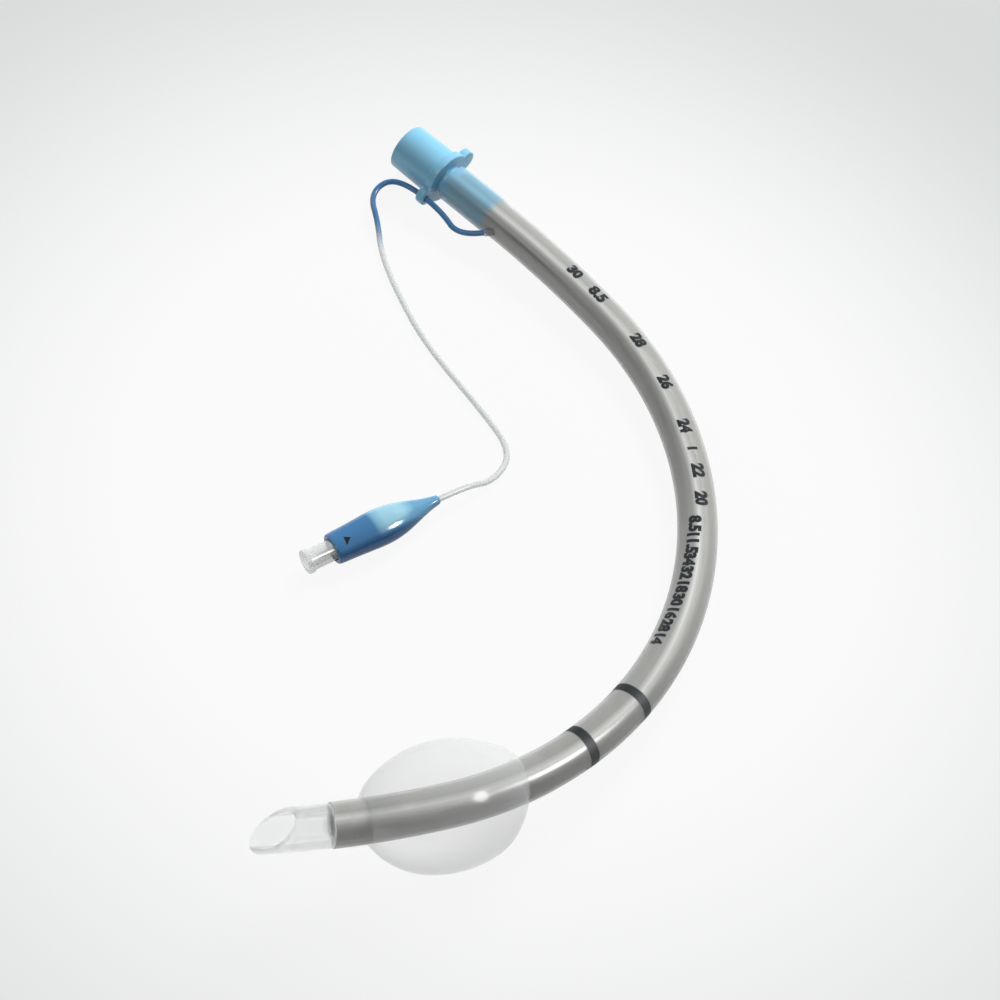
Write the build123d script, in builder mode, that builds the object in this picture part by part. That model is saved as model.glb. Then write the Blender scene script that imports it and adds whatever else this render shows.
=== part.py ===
"""A cuffed, wire-reinforced endotracheal tube with its pilot balloon, lying at rest. Millimetres.

The tube is drawn in a flat plane of its own. Distances along its centreline start at the flange's
face and grow towards the patient. The plane leans until the flange, the curve of the tube and the
inflated cuff all touch the floor, which is z = 0.
"""
from build123d import *
import os
from math import cos, pi, radians, sin, sqrt, tan

os.makedirs("parts", exist_ok=True)

# Tube wall and the wire in it
TUBE_BORE = 8.5
TUBE_WALL = 1.5
WIRE_COVER = 0.4            # wall between the bore and the wire
WIRE_THICKNESS = 0.7
WIRE_FIT = 0.02             # clearance round the wire
TUBE_START = 2.0            # the stem shows between the flange and the tube
TUBE_END = 304.5            # where the clear tip begins
WIRE_INSET = 1.5            # plain wall before the first turn

# Course of the centreline: a straight lead over the stem, then bends that tighten and ease
LEAD_PAST_STEM = 3.0
FIRST_BEND, FIRST_RADIUS = 47.0, 315.0
MAIN_BEND, MAIN_RADIUS = 205.0, 106.0
LAST_RADIUS = 270.0

# Connector
CONE_LENGTH = 15.0
CONE_BASE_DIAMETER = 15.45
CONE_TAPER = 1 / 40         # on the diameter
CONE_LAND = 3.0             # straight stretch by the flange, where the taper has ended
CONE_BORE = 12.4
CONE_LIP = 0.4
FLANGE_THICKNESS = 2.7
FLANGE_DIAMETER = 17.5
EAR_SPAN = 24.2
EAR_WIDTH = 7.0
EAR_TURN = 17.0             # degrees that the ears are turned out of the tube's plane
FLANGE_EDGE = 0.35
STEM_LENGTH = 19.0
STEM_DIAMETER = 9.5
STEM_BORE = 7.9
STEM_EASE = 2.0             # length over which the stretched tube closes again
FUNNEL_LENGTH = 3.0

# Soft tip
TIP_DIAMETER = 11.0
TIP_LENGTH = 14.0           # along the centreline, to the middle of the bevel
BEVEL_ANGLE = 43.5          # between the bevel and the centreline
BEVEL_TURN = 75.0           # degrees below the outer side of the curve where the long lip lies

# Cuff
CUFF_CENTRE = 275.0
CUFF_SPAN = 42.2            # between the collars
CUFF_DIAMETER = 33.4
CUFF_FILM = 0.25
COLLAR_THICKNESS = 0.35
NEAR_COLLAR = 6.5
FAR_COLLAR = 4.5

# Inflation line
LINE_DIAMETER = 1.8
LINE_CLEARANCE = 0.3        # round the line in the ear
EAR_HOLE_RADIUS = 9.9       # from the centreline to the hole in the ear
EXIT_PAST_STEM = 4.5        # where the line leaves the tube
BEAD_DIAMETER = 2.6
BEAD_LENGTH = 2.2
LINE_BEFORE_EAR = 8.1       # straight through the ear's hole, from its middle
LINE_PAST_EAR = 5.7
LINE_INTO_BALLOON = 9.3     # straight into the balloon's tip
LINE_REST = LINE_DIAMETER / 2 + 0.05
BEND_SHARE = 0.45           # of the shorter run beside a bend that the bend may take

# Pilot balloon: a tip that widens quickly to the belly and eases to the valve's neck
BALLOON_LENGTH = 35.0
BALLOON_WIDTH, BALLOON_HEIGHT = 11.4, 9.0
BALLOON_TIP_DIAMETER = 2.8
NECK_WIDTH, NECK_HEIGHT = 9.8, 7.6
BELLY = 0.52                # share of the balloon's length at which it is widest
SHOULDER, SHOULDER_FULLNESS = 0.32, 0.78
NOSE, NOSE_FULLNESS = 0.15, 0.44
WAIST, WAIST_FULLNESS = 0.74, 0.93
BALLOON_TIP = (-17.1, -9.1)
BALLOON_HEADING = 213.0

# Check valve, from its mouth inwards
VALVE_STANDOUT = 8.4        # length of valve that shows past the balloon
VALVE_LENGTH = 17.0
BARREL_DIAMETER = 6.2
LIP_DIAMETER, LIP_LENGTH = 7.1, 1.5
PORT_DIAMETER = 4.27        # at the mouth
PORT_DEPTH = 7.5
PORT_LAND = 1.0             # straight stretch at the mouth, before the taper
PORT_TAPER = 0.06           # on the diameter
THROAT_LENGTH = 1.2
CHAMBER_DIAMETER = 4.4
PLUNGER_DIAMETER = 1.7
PLUNGER_FIT = 0.05
PLUNGER_RECESS = 4.0        # from the mouth to the plunger's end
PLUNGER_FLAT = 0.35         # depth of the flat that lets air by
HEAD_DIAMETER, HEAD_THICKNESS = 3.6, 1.2
SPIGOT_LENGTH = 1.0
RETAINER_THICKNESS = 1.2
RETAINER_HOLE = 2.2
SPRING_WIRE = 0.35
SPRING_DIAMETER = 3.0
SPRING_TURNS = 4
SPRING_FIT = 0.05           # at each end of the spring

# Resting place: the flange's centre on the floor, and the way the connector points
START_X, START_Y = -16.61, 108.43
START_HEADING = 41.7        # degrees from the tube's start round to the row's +X
CONTACT_DISTANCE = 99.0     # where the curve of the tube rests

LEAD = STEM_LENGTH + LEAD_PAST_STEM
TUBE_RADIUS = TUBE_BORE / 2 + TUBE_WALL
STEM_RADIUS = STEM_DIAMETER / 2
# The wall keeps its section where the stem stretches it
STRETCHED_RADIUS = sqrt(STEM_RADIUS**2 + TUBE_RADIUS**2 - (TUBE_BORE / 2) ** 2)
collar_radius = TUBE_RADIUS + COLLAR_THICKNESS
cuff_radius = CUFF_DIAMETER / 2
# The egg-shaped film reaches the collars' radius at each end of the span
cuff_half_length = CUFF_SPAN / 2 / sqrt(1 - (collar_radius / cuff_radius) ** 2)
LAST_BEND = TUBE_END + TIP_LENGTH + TIP_DIAMETER - LEAD - FIRST_BEND - MAIN_BEND
BENDS = ((FIRST_BEND, FIRST_RADIUS), (MAIN_BEND, MAIN_RADIUS), (LAST_BEND, LAST_RADIUS))


def station(distance):
    """Place and heading of the centreline in the tube's plane; the heading grows clockwise."""
    x, y, heading = min(distance, LEAD), 0.0, 0.0
    left = distance - LEAD
    for length, radius in BENDS:
        turn = min(max(left, 0.0), length) / radius
        x += radius * (sin(heading + turn) - sin(heading))
        y -= radius * (cos(heading) - cos(heading + turn))
        heading += turn
        left -= length
    return x, y, heading


def floor_under(contacts):
    """The floor in the tube's plane: its upward normal, and the height of the plane's origin.

    Each contact is a place and how far the tube reaches below it.
    """
    (x1, y1, r1), (x2, y2, r2), (x3, y3, r3) = contacts
    size = (x2 - x1) * (y3 - y1) - (x3 - x1) * (y2 - y1)
    lean_x = ((r2 - r1) * (y3 - y1) - (r3 - r1) * (y2 - y1)) / size
    lean_y = ((x2 - x1) * (r3 - r1) - (x3 - x1) * (r2 - r1)) / size
    height = r1 - lean_x * x1 - lean_y * y1
    return Vector(lean_x, lean_y, sqrt(1 - lean_x**2 - lean_y**2)), height


def settle():
    """Lean the plane on its three contacts; flange and cuff reach a little lower as it leans."""
    cuff_x, cuff_y, cuff_heading = station(CUFF_CENTRE)
    bend_x, bend_y, bend_heading = station(CONTACT_DISTANCE)
    flange_reach, cuff_reach = FLANGE_DIAMETER / 2, cuff_radius
    for settling in range(3):
        normal, height = floor_under(
            (
                (-FLANGE_THICKNESS / 2, 0, flange_reach),
                (bend_x, bend_y, TUBE_RADIUS),
                (cuff_x, cuff_y, cuff_reach),
            )
        )
        slope = normal.X * cos(cuff_heading) - normal.Y * sin(cuff_heading)
        cuff_reach = sqrt(cuff_radius**2 * (1 - slope**2) + (cuff_half_length * slope) ** 2)
        flange_reach = (
            FLANGE_DIAMETER / 2 * sqrt(1 - normal.X**2) + FLANGE_THICKNESS / 2 * abs(normal.X)
        )
    return normal, height


up, start_height = settle()
across = Vector(cos(radians(START_HEADING)), sin(radians(START_HEADING)), 0)
across = (across - up * across.dot(up)).normalized()
away = up.cross(across)
tube_plane = Plane(
    origin=(START_X, START_Y, start_height),
    x_dir=(across.X, away.X, up.X),
    z_dir=(across.Z, away.Z, up.Z),
)
tube_axis = Axis(tube_plane.origin, tube_plane.x_dir)


def point_at(distance):
    """A point of the centreline."""
    x, y, heading = station(distance)
    return tube_plane.from_local_coords(Vector(x, y, 0))


def plane_at(distance):
    """The cross-section plane: x is up out of the tube's plane, y is towards the inside of the curve."""
    heading = station(distance)[2]
    ahead = tube_plane.x_dir * cos(heading) - tube_plane.y_dir * sin(heading)
    return Plane(origin=point_at(distance), x_dir=tube_plane.z_dir, z_dir=ahead)


def course(start, end):
    """The centreline past the lead, from one distance to another, as tangent arcs."""
    joints = [LEAD + FIRST_BEND, LEAD + FIRST_BEND + MAIN_BEND]
    stops = [start] + [joint for joint in joints if start < joint < end] + [end]
    with BuildLine() as run:
        for first, last in zip(stops, stops[1:]):
            ThreePointArc(point_at(first), point_at((first + last) / 2), point_at(last))
    return run.wire()


def lead_solid(points, mode=Mode.ADD):
    """Turn an outline of (distance, radius) points round the axis of the straight lead."""
    with BuildSketch(tube_plane) as outline:
        with BuildLine():
            Polyline(*points, close=True)
        make_face()
    return revolve(outline.sketch, axis=tube_axis, mode=mode)


def swept_ring(start, end, outer, inner=0.0, mode=Mode.ADD):
    """A round bar or a ring swept along the centreline."""
    with BuildSketch(plane_at(start)) as section:
        Circle(outer)
        if inner:
            Circle(inner, mode=Mode.SUBTRACT)
    return sweep(section.sketch, path=course(start, end), mode=mode)


# The connector: cone, flange with two ears, and stem
cone_end = -FLANGE_THICKNESS - CONE_LENGTH
cone_base = CONE_BASE_DIAMETER / 2
cone_tip = cone_base - (CONE_LENGTH - CONE_LAND) * CONE_TAPER / 2
flange_plane = Plane(
    origin=tube_plane.origin,
    x_dir=tube_plane.y_dir.rotate(tube_axis, EAR_TURN),
    z_dir=-tube_plane.x_dir,
)
with BuildPart() as connector:
    with BuildSketch(flange_plane):
        Circle(FLANGE_DIAMETER / 2)
        SlotOverall(EAR_SPAN, EAR_WIDTH)
    extrude(amount=FLANGE_THICKNESS)
    fillet(connector.edges(), FLANGE_EDGE)
    lead_solid(
        (
            (-FLANGE_THICKNESS / 2, 0),
            (cone_end, 0),
            (cone_end, cone_tip - CONE_LIP),
            (cone_end + CONE_LIP, cone_tip),
            (-FLANGE_THICKNESS - CONE_LAND, cone_base),
            (-FLANGE_THICKNESS / 2, cone_base),
        )
    )
    lead_solid(
        (
            (-FLANGE_THICKNESS / 2, 0),
            (-FLANGE_THICKNESS / 2, STEM_RADIUS),
            (STEM_LENGTH, STEM_RADIUS),
            (STEM_LENGTH, 0),
        )
    )
    lead_solid(
        (
            (cone_end, 0),
            (cone_end, CONE_BORE / 2),
            (-FLANGE_THICKNESS - FUNNEL_LENGTH, CONE_BORE / 2),
            (-FLANGE_THICKNESS, STEM_BORE / 2),
            (STEM_LENGTH, STEM_BORE / 2),
            (STEM_LENGTH, 0),
        ),
        mode=Mode.SUBTRACT,
    )
    with BuildSketch(flange_plane):
        with Locations((-EAR_HOLE_RADIUS, 0)):
            Circle(LINE_DIAMETER / 2 + LINE_CLEARANCE)
    extrude(amount=FLANGE_THICKNESS, mode=Mode.SUBTRACT)
connector.part.label = "connector"
export_step(connector.part, "parts/connector.step")

# The inflation line's route: out of the tube, through the ear, then along the floor to the balloon
ear_hole = flange_plane.from_local_coords(Vector(-EAR_HOLE_RADIUS, 0, FLANGE_THICKNESS / 2))
through_ear = flange_plane.z_dir
balloon_axis_height = BALLOON_HEIGHT / 2
exit_plane = plane_at(STEM_LENGTH + EXIT_PAST_STEM)
exit_point = exit_plane.from_local_coords(Vector(0, TUBE_RADIUS, 0))
first_bend_point = Vector(-12.7, 88.9, 4.6)
exit_way = (first_bend_point - exit_point).normalized()
line_start = exit_point + exit_way * BEAD_LENGTH
balloon_tip = Vector(*BALLOON_TIP, balloon_axis_height)
balloon_way = Vector(cos(radians(BALLOON_HEADING)), sin(radians(BALLOON_HEADING)), 0)
route = [
    line_start,
    first_bend_point,
    ear_hole - through_ear * LINE_BEFORE_EAR,
    ear_hole + through_ear * LINE_PAST_EAR,
    Vector(-35.6, 107.5, 7.2),
    Vector(-40.5, 102.5, 4.7),
    Vector(-37.7, 93.7, 2.6),
    Vector(-36.2, 82.7, LINE_REST),
    Vector(-30.6, 67.1, LINE_REST),
    Vector(-21.4, 48.0, LINE_REST),
    Vector(-4.9, 25.9, LINE_REST),
    Vector(4.6, 11.2, LINE_REST),
    Vector(-0.8, 0.7, LINE_REST),
    balloon_tip - balloon_way * LINE_INTO_BALLOON,
    balloon_tip,
]
runs = [(after - before).length for before, after in zip(route, route[1:])]
turns = [
    (here - before).get_angle(after - here)
    for before, here, after in zip(route, route[1:], route[2:])
]
bend_radii = [
    BEND_SHARE * min(run, next_run) / tan(radians(turn) / 2)
    for run, next_run, turn in zip(runs, runs[1:], turns)
]

# The tube wall, stretched over the stem, with the slot that the wire lies in
slot_inner = TUBE_BORE / 2 + WIRE_COVER
slot_outer = slot_inner + WIRE_THICKNESS
inner_widening = STEM_RADIUS - TUBE_BORE / 2
outer_widening = STRETCHED_RADIUS - TUBE_RADIUS
slot_start = TUBE_START + WIRE_INSET
eased = STEM_LENGTH + STEM_EASE


def lead_ring(start, inner, outer, mode=Mode.ADD):
    """A ring of the lead that stands out round the stem and closes again past it."""
    inner_stretch, outer_stretch = (
        inner_widening + (outer_widening - inner_widening) * (radius - TUBE_BORE / 2) / TUBE_WALL
        for radius in (inner, outer)
    )
    return lead_solid(
        (
            (start, inner + inner_stretch),
            (start, outer + outer_stretch),
            (STEM_LENGTH, outer + outer_stretch),
            (eased, outer),
            (LEAD, outer),
            (LEAD, inner),
            (eased, inner),
            (STEM_LENGTH, inner + inner_stretch),
        ),
        mode=mode,
    )


with BuildPart() as tube:
    lead_ring(TUBE_START, TUBE_BORE / 2, TUBE_RADIUS)
    swept_ring(LEAD, TUBE_END, TUBE_RADIUS)
    with BuildSketch(Plane(origin=line_start, z_dir=exit_way)):
        Circle(BEAD_DIAMETER / 2)
    extrude(amount=-(BEAD_LENGTH + TUBE_WALL))
    swept_ring(LEAD, TUBE_END, TUBE_BORE / 2, mode=Mode.SUBTRACT)
    lead_ring(slot_start, slot_inner, slot_outer, mode=Mode.SUBTRACT)
    swept_ring(LEAD, TUBE_END, slot_outer, slot_inner, mode=Mode.SUBTRACT)
tube.part.label = "tube"
export_step(tube.part, "parts/tube.step")

# The reinforcing wire, as the sleeve that its close turns fill
with BuildPart() as reinforcing_coil:
    lead_ring(slot_start + WIRE_FIT, slot_inner + WIRE_FIT, slot_outer - WIRE_FIT)
    swept_ring(LEAD, TUBE_END - WIRE_FIT, slot_outer - WIRE_FIT, slot_inner + WIRE_FIT)
reinforcing_coil.part.label = "reinforcing_coil"
export_step(reinforcing_coil.part, "parts/reinforcing_coil.step")

# The clear tip, cut on a bevel
bevel_middle = plane_at(TUBE_END + TIP_LENGTH)
long_lip = (
    -bevel_middle.y_dir * cos(radians(BEVEL_TURN)) - bevel_middle.x_dir * sin(radians(BEVEL_TURN))
)
bevel_normal = (
    bevel_middle.z_dir * sin(radians(BEVEL_ANGLE)) - long_lip * cos(radians(BEVEL_ANGLE))
)
with BuildPart() as soft_tip:
    swept_ring(TUBE_END, TUBE_END + TIP_LENGTH + TIP_DIAMETER, TIP_DIAMETER / 2, TUBE_BORE / 2)
    split(bisect_by=Plane(origin=bevel_middle.origin, z_dir=bevel_normal), keep=Keep.BOTTOM)
soft_tip.part.label = "soft_tip"
export_step(soft_tip.part, "parts/soft_tip.step")

# The inflated cuff: a film in the shape of an egg, between two collars
cuff_plane = plane_at(CUFF_CENTRE)
cuff_side_plane = Plane(origin=cuff_plane.origin, x_dir=cuff_plane.z_dir, z_dir=tube_plane.z_dir)


def egg(inset, mode=Mode.ADD):
    """The cuff's outline, drawn in by a film's thickness or not, turned about its own axis."""
    length = cuff_half_length - inset
    with BuildSketch(cuff_side_plane) as half:
        Ellipse(length, cuff_radius - inset)
        with Locations((0, -cuff_radius)):
            Rectangle(2 * length, 2 * cuff_radius, mode=Mode.SUBTRACT)
    return revolve(half.sketch, axis=Axis(cuff_plane.origin, cuff_plane.z_dir), mode=mode)


near_collar_start = CUFF_CENTRE - CUFF_SPAN / 2 - NEAR_COLLAR
far_collar_end = CUFF_CENTRE + CUFF_SPAN / 2 + FAR_COLLAR
with BuildPart() as cuff:
    egg(0)
    egg(CUFF_FILM, mode=Mode.SUBTRACT)
    swept_ring(near_collar_start, near_collar_start + NEAR_COLLAR + CUFF_FILM, collar_radius)
    swept_ring(far_collar_end - FAR_COLLAR - CUFF_FILM, far_collar_end, collar_radius)
    swept_ring(near_collar_start - COLLAR_THICKNESS, far_collar_end + COLLAR_THICKNESS,
               TUBE_RADIUS, mode=Mode.SUBTRACT)
cuff.part.label = "cuff"
export_step(cuff.part, "parts/cuff.step")

# The inflation line, as a round bar along its route
with BuildPart() as inflation_line:
    with BuildLine() as line_path:
        FilletPolyline(*route, radius=bend_radii)
    with BuildSketch(Plane(origin=line_start, z_dir=exit_way)):
        Circle(LINE_DIAMETER / 2)
    sweep(path=line_path.wire())
inflation_line.part.label = "inflation_line"
export_step(inflation_line.part, "parts/inflation_line.step")

# The pilot balloon: film from the line's end to the valve's barrel

def balloon_plane(distance):
    """A cross-section of balloon and valve, at a distance from the balloon's tip; y is up."""
    return Plane(origin=balloon_tip + balloon_way * distance,
                 x_dir=Vector(0, 0, 1).cross(balloon_way) * -1, z_dir=balloon_way)


mouth = BALLOON_LENGTH + VALVE_STANDOUT
valve_end = mouth - VALVE_LENGTH
balloon_outline = (
    (0, BALLOON_TIP_DIAMETER, BALLOON_TIP_DIAMETER),
    (NOSE, NOSE_FULLNESS * BALLOON_WIDTH, NOSE_FULLNESS * BALLOON_HEIGHT),
    (SHOULDER, SHOULDER_FULLNESS * BALLOON_WIDTH, SHOULDER_FULLNESS * BALLOON_HEIGHT),
    (BELLY, BALLOON_WIDTH, BALLOON_HEIGHT),
    (WAIST, WAIST_FULLNESS * BALLOON_WIDTH, WAIST_FULLNESS * BALLOON_HEIGHT),
    (1, NECK_WIDTH, NECK_HEIGHT),
)
with BuildPart() as pilot_balloon:
    for share, width, height in balloon_outline:
        with BuildSketch(balloon_plane(share * BALLOON_LENGTH)):
            Ellipse(width / 2, height / 2)
    loft()
    with BuildSketch(balloon_plane(valve_end)):
        Circle(BARREL_DIAMETER / 2)
    extrude(amount=VALVE_LENGTH, mode=Mode.SUBTRACT)
pilot_balloon.part.label = "pilot_balloon"
export_step(pilot_balloon.part, "parts/pilot_balloon.step")

# The check valve lies on one axis; distances run from its mouth inwards
valve_plane = Plane(origin=balloon_plane(mouth).origin, x_dir=-balloon_way, z_dir=(0, 0, 1))
valve_axis = Axis(valve_plane.origin, valve_plane.x_dir)


def valve_solid(points, mode=Mode.ADD):
    """Turn an outline of (distance from the mouth, radius) points round the valve's axis."""
    with BuildSketch(valve_plane) as outline:
        with BuildLine():
            Polyline(*points, close=True)
        make_face()
    return revolve(outline.sketch, axis=valve_axis, mode=mode)


seat = PORT_DEPTH + THROAT_LENGTH
retainer_start = VALVE_LENGTH - RETAINER_THICKNESS
chamber_radius = CHAMBER_DIAMETER / 2
throat_radius = PLUNGER_DIAMETER / 2 + PLUNGER_FIT
port_radius = PORT_DIAMETER / 2
port_end_radius = port_radius - (PORT_DEPTH - PORT_LAND) * PORT_TAPER / 2
with BuildPart() as valve_body:
    valve_solid(
        (
            (0, port_radius),
            (0, LIP_DIAMETER / 2),
            (LIP_LENGTH, LIP_DIAMETER / 2),
            (LIP_LENGTH, BARREL_DIAMETER / 2),
            (VALVE_LENGTH, BARREL_DIAMETER / 2),
            (VALVE_LENGTH, chamber_radius),
            (seat, chamber_radius),
            (seat, throat_radius),
            (PORT_DEPTH, throat_radius),
            (PORT_DEPTH, port_end_radius),
            (PORT_LAND, port_radius),
        )
    )
valve_body.part.label = "valve_body"
export_step(valve_body.part, "parts/valve_body.step")

head_end = seat + HEAD_THICKNESS
spigot_radius = SPRING_DIAMETER / 2 - SPRING_WIRE - SPRING_FIT
with BuildPart() as valve_plunger:
    valve_solid(
        (
            (PLUNGER_RECESS, 0),
            (PLUNGER_RECESS, PLUNGER_DIAMETER / 2),
            (seat, PLUNGER_DIAMETER / 2),
            (seat, HEAD_DIAMETER / 2),
            (head_end, HEAD_DIAMETER / 2),
            (head_end, spigot_radius),
            (head_end + SPIGOT_LENGTH, spigot_radius),
            (head_end + SPIGOT_LENGTH, 0),
        )
    )
    with BuildSketch(valve_plane.offset(PLUNGER_DIAMETER / 2 - PLUNGER_FLAT)):
        with Locations((PLUNGER_RECESS, 0)):
            Rectangle(seat - PLUNGER_RECESS, PLUNGER_DIAMETER, align=(Align.MIN, Align.CENTER))
    extrude(amount=PLUNGER_DIAMETER, mode=Mode.SUBTRACT)
valve_plunger.part.label = "valve_plunger"
export_step(valve_plunger.part, "parts/valve_plunger.step")

with BuildPart() as spring_retainer:
    valve_solid(
        (
            (retainer_start, RETAINER_HOLE / 2),
            (retainer_start, chamber_radius),
            (VALVE_LENGTH, chamber_radius),
            (VALVE_LENGTH, RETAINER_HOLE / 2),
        )
    )
spring_retainer.part.label = "spring_retainer"
export_step(spring_retainer.part, "parts/spring_retainer.step")

spring_length = retainer_start - head_end - 2 * SPRING_FIT - SPRING_WIRE
spring_radius = (SPRING_DIAMETER - SPRING_WIRE) / 2
spring_start = valve_plane.from_local_coords(Vector(head_end + SPRING_FIT + SPRING_WIRE / 2, 0, 0))
with BuildPart() as valve_spring:
    with BuildLine() as spring_path:
        Helix(
            spring_length / SPRING_TURNS,
            spring_length,
            spring_radius,
            center=spring_start,
            direction=valve_plane.x_dir,
        )
    with BuildSketch(Plane(origin=spring_path.line @ 0, z_dir=spring_path.line % 0)):
        Circle(SPRING_WIRE / 2)
    sweep(path=spring_path.wire(), is_frenet=True)
valve_spring.part.label = "valve_spring"
export_step(valve_spring.part, "parts/valve_spring.step")

cone_land = tube_plane.from_local_coords(Vector(-FLANGE_THICKNESS - CONE_LAND / 2, 0, 0))
port_land = valve_plane.from_local_coords(Vector(PORT_LAND / 2, 0, 0))
print("middle of the cone's land", tuple(cone_land), "and of the port's", tuple(port_land))
line_length = line_path.wire().length
line_section = pi * (LINE_DIAMETER / 2) ** 2
print("runs of the line", [round(run, 1) for run in runs])
print("turns of the line", [round(turn) for turn in turns])
print("radii of the line", [round(radius, 1) for radius in bend_radii])
print("length of the line", round(line_length, 1))
print("volume of the line", round(inflation_line.part.volume, 1), "of", round(line_section * line_length, 1))
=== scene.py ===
# %% [markdown]
# # A wire-reinforced breathing tube
# The object is an endotracheal tube: a soft bent tube with a steel wire wound in its wall, a blue
# connector at one end, a clear bevelled tip and an inflated cuff at the other, and a thin line that
# leads from the cuff to a blue pilot balloon with a check valve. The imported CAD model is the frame:
# it says where every piece is, and the pieces made here stand for its nodes.

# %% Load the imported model
from math import cos, pi, radians, sin, sqrt, tan

import bpy
from mathutils import Matrix, Vector


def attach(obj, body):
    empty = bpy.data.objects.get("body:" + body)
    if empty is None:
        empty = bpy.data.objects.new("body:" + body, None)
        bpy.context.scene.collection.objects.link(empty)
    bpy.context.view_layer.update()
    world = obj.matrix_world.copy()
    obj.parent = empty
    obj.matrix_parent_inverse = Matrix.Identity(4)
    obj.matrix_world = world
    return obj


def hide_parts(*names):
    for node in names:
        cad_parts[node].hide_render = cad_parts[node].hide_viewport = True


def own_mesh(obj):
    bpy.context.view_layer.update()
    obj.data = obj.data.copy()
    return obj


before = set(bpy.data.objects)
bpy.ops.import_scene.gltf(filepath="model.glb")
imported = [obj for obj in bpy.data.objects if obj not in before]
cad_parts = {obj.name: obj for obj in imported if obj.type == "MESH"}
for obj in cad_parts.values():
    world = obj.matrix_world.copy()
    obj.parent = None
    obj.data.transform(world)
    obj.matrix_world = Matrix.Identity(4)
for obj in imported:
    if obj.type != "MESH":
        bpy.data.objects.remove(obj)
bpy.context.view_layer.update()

MM = 0.001

# %% [markdown]
# ## Camera
# The camera comes first. A 69 mm lens looks down on the floor at 57 degrees, a little rolled, and its
# place is given in the CAD frame.

# %% Set the camera
bpy.ops.object.camera_add(
    location=(-0.0571, -0.3035, 0.45644),
    rotation=(radians(32.979), radians(-7.224), radians(-0.049)),
)
camera = bpy.context.object
camera.name = "camera"
camera.data.lens, camera.data.sensor_width = 68.7, 36
bpy.context.scene.camera = camera
print("camera height in mm", round(camera.location.z / MM))

# %% [markdown]
# ## Colours and shader nodes
# Colours are read off as sRGB hex values, but a shader works in linear light, so one function
# converts them. Another adds a node with its settings and its links in one call.


# %% Colour and node helpers
def linear(hex_colour):
    """An sRGB hex colour as linear red, green, blue and alpha."""
    shares = [int(hex_colour[i:i + 2], 16) / 255 for i in (0, 2, 4)]
    return [s / 12.92 if s <= 0.04045 else ((s + 0.055) / 1.055) ** 2.4 for s in shares] + [1.0]


def add_node(tree, kind, inputs=None, **settings):
    """Add a node. An input takes a value, or a (node, output) pair that is linked to it."""
    made = tree.nodes.new("ShaderNode" + kind)
    for name, value in settings.items():
        setattr(made, name, value)
    for name, value in (inputs or {}).items():
        if isinstance(value, tuple) and isinstance(value[0], bpy.types.Node):
            tree.links.new(value[0].outputs[value[1]], made.inputs[name])
        else:
            made.inputs[name].default_value = value
    return made


def new_material(name):
    """An empty node material."""
    material = bpy.data.materials.new(name)
    material.use_nodes = True
    material.node_tree.nodes.clear()
    return material, material.node_tree


def finish_material(tree, shader):
    """Link the shader to the output."""
    add_node(tree, "OutputMaterial", {"Surface": (shader, 0)})


print("connector blue in linear light", [round(v, 3) for v in linear("8CCBE9")])

# %% [markdown]
# ## Moulded polypropylene
# The connector is injection moulded in light blue polypropylene. Such a part is glossy but not
# mirror smooth, so roughness is near 0.3 with an IOR of 1.49, and a faint grain about 0.4 mm wide,
# drawn coarser than the real one, breaks up its highlights.


# %% Material: connector
def moulded_plastic(name, colour, roughness, grain_mm):
    """Glossy plastic with a fine grain and a slow change of tint."""
    material, tree = new_material(name)
    place = add_node(tree, "TexCoord")
    grain = add_node(tree, "TexNoise", {"Vector": (place, "Object"), "Scale": 1 / (grain_mm * MM)})
    bump = add_node(tree, "Bump", {"Height": (grain, 0), "Strength": 0.08, "Distance": 0.05 * MM})
    cloud = add_node(tree, "TexNoise", {"Vector": (place, "Object"), "Scale": 1 / (6 * MM)})
    tint = add_node(tree, "Mix", {0: (cloud, 0), 6: linear(colour), 7: linear(colour)},
                    data_type="RGBA")
    tint.inputs[7].default_value = [v * 0.93 for v in linear(colour)[:3]] + [1]
    shader = add_node(tree, "BsdfPrincipled", {
        "Base Color": (tint, 2), "Roughness": roughness, "IOR": 1.49, "Normal": (bump, 0),
    })
    finish_material(tree, shader)
    return material


connector_plastic = moulded_plastic("moulded_polypropylene", "8CCBE9", 0.3, 0.4)
white_plastic = moulded_plastic("moulded_acetal", "E6E6E2", 0.35, 0.4)
print("moulded plastics made")

# %% [markdown]
# ## Spring steel wire
# The wire in the wall and the valve's spring are drawn steel: a metal with fine lines along it.


# %% Material: wire
def drawn_steel(name, colour, roughness):
    """Metal whose roughness changes every half millimetre."""
    material, tree = new_material(name)
    place = add_node(tree, "TexCoord")
    streak = add_node(tree, "TexNoise", {"Vector": (place, "Object"), "Scale": 1 / (0.5 * MM)})
    rough = add_node(tree, "MapRange", {
        "Value": (streak, 0), "To Min": roughness - 0.06, "To Max": roughness + 0.06,
    })
    shader = add_node(tree, "BsdfPrincipled", {
        "Base Color": linear(colour), "Metallic": 1.0, "Roughness": (rough, 0),
    })
    finish_material(tree, shader)
    return material


wire_steel = drawn_steel("drawn_steel_wire", "C6C6C2", 0.42)
print("steel made")

# %% [markdown]
# ## Clear and translucent plastics
# The wall, the tip, the cuff, the line and the valve are all see-through, from a milky wall to a
# film as thin as a hair. Each lets part of the light through unbent and adds gloss on top. A thin
# clear skin looks denser where it is seen edge on, because the eye looks through more of it, so
# its cover grows with Layer Weight's Facing. Soft vinyl has an IOR of 1.53.


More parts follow.
